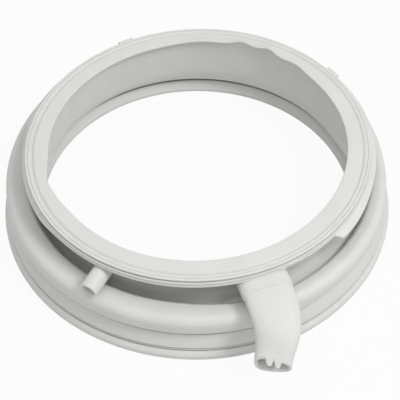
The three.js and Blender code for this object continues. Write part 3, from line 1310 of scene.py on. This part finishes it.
@dataclass
class RimTabs:
    """Locating tabs on the rim's side.

    Each has its angle in degrees, how far it stands out of the rim, and its length along it.
    """

    sizes: SealSizes
    tabs: tuple = (
        (36.2, 5.6, 14.6),
        (116.9, 5.2, 14.8),
        (209.0, 1.6, 13.0),
        (301.0, 1.6, 13.0),
    )
    height: float = 4.0
    inset: float = 3.5
    bury: float = 1.2
    rounding: float = 0.5
    cuts: int = 5
    sharp: float = 60.0

    def tab(self, angle: float, proud: float, width: float) -> bmesh.types.BMesh:
        """Builds one tab that follows the rim.

        Args:
            angle: Place on the rim.
            proud: How far it stands out of the rim.
            width: Its length along the rim.

        Returns:
            The tab's mesh.
        """
        s = self.sizes
        bm = bmesh.new()
        bmesh.ops.create_cube(bm, size=1)
        across = [e for e in bm.edges if abs(e.verts[0].co.y - e.verts[1].co.y) > 0.5]
        bmesh.ops.subdivide_edges(bm, edges=across, cuts=self.cuts, use_grid_fill=True)
        outer = s.rim_radius + s.ring_offset(angle) + proud
        deep = proud + self.bury
        top = s.face - self.inset
        for vert in bm.verts:
            radius = outer + (vert.co.x - 0.5) * deep
            away = vert.co.y * width / s.rim_radius
            vert.co = polar(angle + away, radius, top + (vert.co.z - 0.5) * self.height)
        sharp = [e for e in bm.edges if e.calc_face_angle(0) > math.radians(self.sharp)]
        round_off(bm, sharp, Rounded.EDGES, self.rounding)
        return bm

    def build(self) -> bpy.types.Object:
        """Builds all the tabs as one piece.

        Returns:
            The tabs.
        """
        bm = bmesh.new()
        for angle, proud, width in self.tabs:
            tab = self.tab(math.radians(angle), proud, width)
            mesh = bpy.data.meshes.new("tab")
            tab.to_mesh(mesh)
            tab.free()
            bm.from_mesh(mesh)
            bpy.data.meshes.remove(mesh)
        to_part_frame(bm, self.sizes)
        return piece_of(bm, "rim_tabs")


@dataclass
class DoorSeal:
    """The whole seal, put together from its parts."""

    sizes: SealSizes = field(default_factory=SealSizes)

    def build(self) -> list[bpy.types.Object]:
        """Builds, dresses and declares every piece.

        Returns:
            The pieces.
        """
        ring = SealRing(self.sizes)
        spout = DrainSpout(self.sizes)
        nozzle = InletNozzle(self.sizes)
        body = ring.build()
        combine(body, spout.bore(), Merge.CUT)
        combine(body, nozzle.bore(), Merge.CUT)
        pieces = [body, spout.build(), nozzle.build(), RimTabs(self.sizes).build()]
        rubber = RubberFinish(centre=tuple(self.sizes.axis_place() * MM)).material()
        for piece in pieces:
            piece.data.materials.clear()
            piece.data.materials.append(rubber)
            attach(piece, "root")
            LOG.info("%s: %d faces", piece.name, len(piece.data.polygons))
        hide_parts("door_seal")
        return pieces


@dataclass
class Studio:
    """Pale floor, white surroundings, soft lamps and the camera."""

    sizes: SealSizes
    elevation: float = 49.722
    distance: float = 1150.0
    aim: tuple = (2.754, 0.0, -1.921)
    focal_pixels: float = 1142.439
    sensor: float = 36.0
    nearest: float = 0.01
    floor_size: float = 6.0
    floor_drop: float = 0.0002
    glow: float = 0.93
    sky: float = 0.5
    floor_tone: float = 0.7
    lamps: dict = field(
        default_factory=lambda: {
            Lamp.KEY: ((1.2, -0.65, 2.0), 0.9, 22.0),
            Lamp.OVERHEAD: ((-0.25, 0.1, 1.9), 1.1, 3.5),
            Lamp.FRONT: ((-0.1, -1.0, 1.7), 0.6, 3.0),
        }
    )

    def camera(self) -> bpy.types.Object:
        """Makes the camera at the photograph's viewing angle.

        Returns:
            The camera.
        """
        rise = math.radians(self.elevation)
        forward = Vector((0, math.cos(rise), -math.sin(rise)))
        aim = Vector(self.aim) + self.sizes.axis_place()
        data = bpy.data.cameras.new("camera")
        data.sensor_fit = "HORIZONTAL"
        data.sensor_width = self.sensor
        data.lens = self.focal_pixels / PHOTO_SIDE * data.sensor_width
        data.clip_start = self.nearest
        camera = bpy.data.objects.new("camera", data)
        camera.location = (aim - forward * self.distance) * MM
        camera.rotation_euler = (math.pi / 2 - rise, 0, 0)
        bpy.context.scene.collection.objects.link(camera)
        bpy.context.scene.camera = camera
        return camera

    def lamp(self, kind: Lamp) -> bpy.types.Object:
        """Makes one soft lamp that faces the seal.

        Args:
            kind: Which lamp.

        Returns:
            The lamp.
        """
        place, size, power = self.lamps[kind]
        data = bpy.data.lights.new(kind.value, "AREA")
        data.shape = "DISK"
        data.size = size
        data.energy = power
        lamp = bpy.data.objects.new(kind.value, data)
        lamp.location = place
        lamp.rotation_euler = (-Vector(place)).to_track_quat("-Z", "Y").to_euler()
        bpy.context.scene.collection.objects.link(lamp)
        return lamp

    def seen_or_mirrored(self, tree: bpy.types.NodeTree) -> bpy.types.NodeSocket:
        """Adds nodes that tell which rays see the white surroundings.

        Args:
            tree: Node tree that takes the nodes.

        Returns:
            A socket that gives 1 for camera, glossy and transmission rays, and 0 otherwise.
        """
        path = add_node(tree, "ShaderNodeLightPath")
        rays = path.outputs["Is Camera Ray"]
        for name in ("Is Glossy Ray", "Is Transmission Ray"):
            either = add_node(tree, "ShaderNodeMath", operation="MAXIMUM")
            tree.links.new(rays, either.inputs[0])
            tree.links.new(path.outputs[name], either.inputs[1])
            rays = either.outputs["Value"]
        return rays

    def blend(
        self,
        tree: bpy.types.NodeTree,
        share: bpy.types.NodeSocket,
        first: bpy.types.Node,
        second: bpy.types.Node,
        end: str,
    ) -> None:
        """Mixes two shaders and ends the tree with the mix.

        Args:
            tree: Node tree that holds them.
            share: Socket with the second one's share.
            first: Shader that lights and shades.
            second: Shader that is seen as white.
            end: Name of the tree's last node.
        """
        mix = add_node(tree, "ShaderNodeMixShader")
        tree.links.new(share, mix.inputs["Fac"])
        tree.links.new(first.outputs[0], mix.inputs[1])
        tree.links.new(second.outputs[0], mix.inputs[2])
        tree.links.new(mix.outputs["Shader"], tree.nodes[end].inputs["Surface"])

    def surroundings(self) -> None:
        """Makes the world: white where it is seen, softer where it lights."""
        world = bpy.data.worlds.new("surroundings")
        world.use_nodes = True
        tree = world.node_tree
        light = tree.nodes["Background"]
        light.inputs["Strength"].default_value = self.sky
        light.inputs["Color"].default_value = WHITE
        white = add_node(tree, "ShaderNodeBackground", {"Color": WHITE})
        self.blend(tree, self.seen_or_mirrored(tree), light, white, "World Output")
        bpy.context.scene.world = world

    def floor(self) -> bpy.types.Object:
        """Makes the white floor, which keeps a soft shadow of the seal.

        Returns:
            The floor.
        """
        bm = bmesh.new()
        bmesh.ops.create_grid(bm, x_segments=1, y_segments=1, size=self.floor_size / 2)
        bmesh.ops.translate(bm, verts=bm.verts, vec=(0, 0, -self.floor_drop))
        floor = piece_of(bm, "floor")
        material = bpy.data.materials.new("white_floor")
        material.use_nodes = True
        tree = material.node_tree
        shader = tree.nodes["Principled BSDF"]
        shader.inputs["Base Color"].default_value = (*[self.floor_tone] * 3, 1)
        shader.inputs["Roughness"].default_value = 1
        shader.inputs["Specular IOR Level"].default_value = 0
        glow = add_node(tree, "ShaderNodeEmission", {"Color": WHITE})
        share = add_node(tree, "ShaderNodeMath", {1: self.glow}, operation="MULTIPLY")
        tree.links.new(self.seen_or_mirrored(tree), share.inputs[0])
        self.blend(tree, share.outputs["Value"], shader, glow, "Material Output")
        floor.data.materials.append(material)
        return floor

    def build(self) -> None:
        """Sets up the whole studio."""
        bpy.context.scene.view_settings.view_transform = "Standard"
        self.camera()
        self.surroundings()
        self.floor()
        for kind in Lamp:
            self.lamp(kind)


def main() -> None:
    """Builds the studio and the seal, and reports each piece."""
    logging.basicConfig(level=logging.INFO, format="%(name)s: %(message)s")
    seal = DoorSeal()
    Studio(seal.sizes).build()
    for piece in seal.build():
        LOG.info("placed %s", piece.name)


if __name__ == "__main__":
    main()
